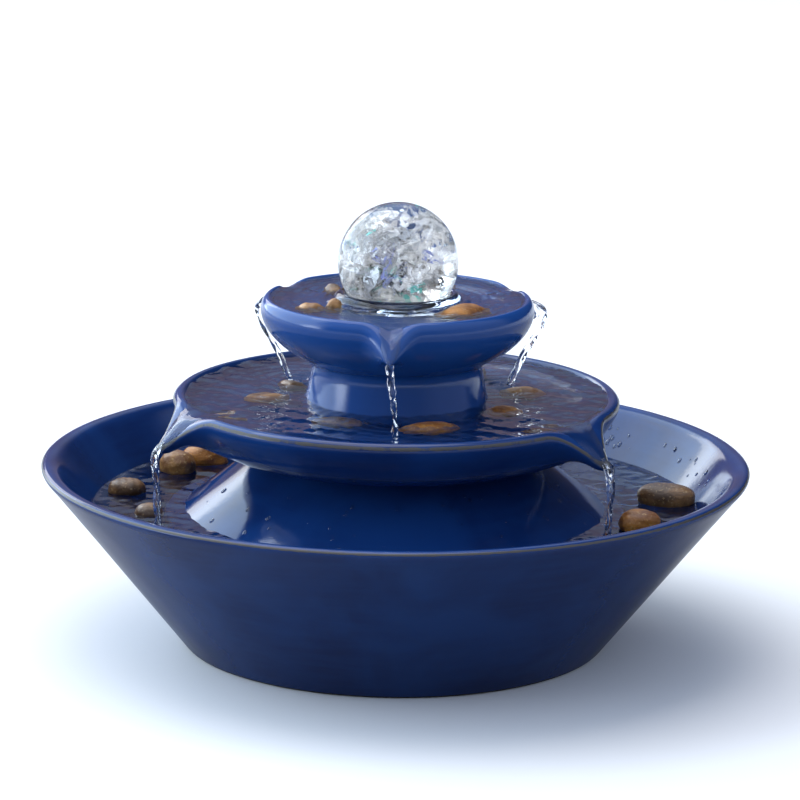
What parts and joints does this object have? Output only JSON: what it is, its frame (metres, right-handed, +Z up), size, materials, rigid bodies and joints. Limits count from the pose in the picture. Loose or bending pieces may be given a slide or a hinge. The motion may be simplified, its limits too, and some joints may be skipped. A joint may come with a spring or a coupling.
{
  "type": "tabletop water fountain",
  "caption": "Blue glazed tabletop fountain: flared basin, cone cover over a pump, two trays with pouring lips, pebbles, and a clear ball turning in a cup on top.",
  "frame": {"origin": "middle of the basin's foot, on the surface that it stands on", "axes": "+Z up; -Y is the front, where the upper tray's front lip points; +X to the right seen from the front"},
  "size_m": [0.3, 0.3, 0.1884],
  "materials": {
    "blue_glaze": "deep cobalt gloss glaze over stoneware, worn tan at the rims, bare brown clay at the foot",
    "ball_glass": "clear crackle glass with pale teal and violet glints",
    "clear_acrylic": "clear polished acrylic",
    "clear_hose": "clear flexible vinyl",
    "black_rubber": "matt black rubber",
    "pump_plastic": "black moulded plastic, fine grain",
    "dial_plastic": "dark grey moulded plastic",
    "white_plastic": "white moulded nylon",
    "ferrite": "dark grey sintered ferrite",
    "shaft_ceramic": "ground white alumina",
    "core_steel": "laminated silicon steel",
    "copper_wire": "enamelled copper wire, close wound",
    "orange_pebble": "wet polished river stone, orange brown with dark veins",
    "brown_pebble": "wet polished river stone, dark brown with specks"
  },
  "bodies": {
    "basin": {"basin": "blue_glaze", "riser_tube": "clear_hose", "volute_cover": "pump_plastic", "pump_housing": "pump_plastic", "seal_ring": "black_rubber", "rotor_shaft": "shaft_ceramic", "front_shaft_bush": "black_rubber", "rear_shaft_bush": "black_rubber", "stator_core": "core_steel", "coil_bobbin": "white_plastic", "coil_winding": "copper_wire", "back_plate": "pump_plastic", "cable_gland": "black_rubber", "intake_grille": "pump_plastic", "suction_cup_1": "black_rubber", "suction_cup_2": "black_rubber", "suction_cup_3": "black_rubber", "suction_cup_4": "black_rubber", "pebble_basin_1": "brown_pebble", "pebble_basin_2": "orange_pebble", "pebble_basin_3": "orange_pebble", "pebble_basin_4": "brown_pebble", "pebble_basin_5": "brown_pebble", "pebble_basin_6": "orange_pebble", "pebble_basin_7": "orange_pebble", "pebble_basin_8": "brown_pebble", "pebble_basin_9": "orange_pebble"},
    "pump_cover": {"pump_cover": "blue_glaze"},
    "middle_tray": {"middle_tray": "blue_glaze", "tube_grommet": "black_rubber", "pebble_middle_1": "orange_pebble", "pebble_middle_2": "brown_pebble", "pebble_middle_3": "brown_pebble", "pebble_middle_4": "orange_pebble", "pebble_middle_5": "orange_pebble", "pebble_middle_6": "orange_pebble", "pebble_middle_7": "brown_pebble"},
    "upper_tray": {"upper_tray": "blue_glaze", "ball_seat": "clear_acrylic", "pebble_upper_1": "orange_pebble", "pebble_upper_2": "orange_pebble", "pebble_upper_3": "orange_pebble", "pebble_upper_4": "brown_pebble", "pebble_upper_5": "orange_pebble"},
    "ball": {"glass_ball": "ball_glass"},
    "rotor": {"rotor_magnet": "ferrite", "impeller": "white_plastic"},
    "flow_dial": {"flow_dial": "dial_plastic"}
  },
  "joints": [
    {"name": "middle_tray_lift", "type": "slide", "parent": "basin", "child": "middle_tray", "axis": [0, 0, 1], "range_m": [0, 0.13]},
    {"name": "cover_lift", "type": "slide", "parent": "basin", "child": "pump_cover", "axis": [0, 0, 1], "range_m": [0, 0.065]},
    {"name": "upper_tray_lift", "type": "slide", "parent": "middle_tray", "child": "upper_tray", "axis": [0, 0, 1], "range_m": [0, 0.06]},
    {"name": "ball_spin", "type": "hinge", "parent": "upper_tray", "child": "ball", "pos_m": [0, 0, 0.163], "axis": [0, 0, 1], "continuous": true},
    {"name": "rotor_spin", "type": "hinge", "parent": "basin", "child": "rotor", "pos_m": [0, 0, 0.03], "axis": [0, 1, 0], "continuous": true},
    {"name": "flow_dial_turn", "type": "hinge", "parent": "basin", "child": "flow_dial", "pos_m": [0, -0.0176, 0.03], "axis": [0, 1, 0], "range_deg": [0, 45]}
  ],
  "couplings": [
    {"joint": "cover_lift", "follows": "middle_tray_lift", "ratio": 0.5}
  ]
}
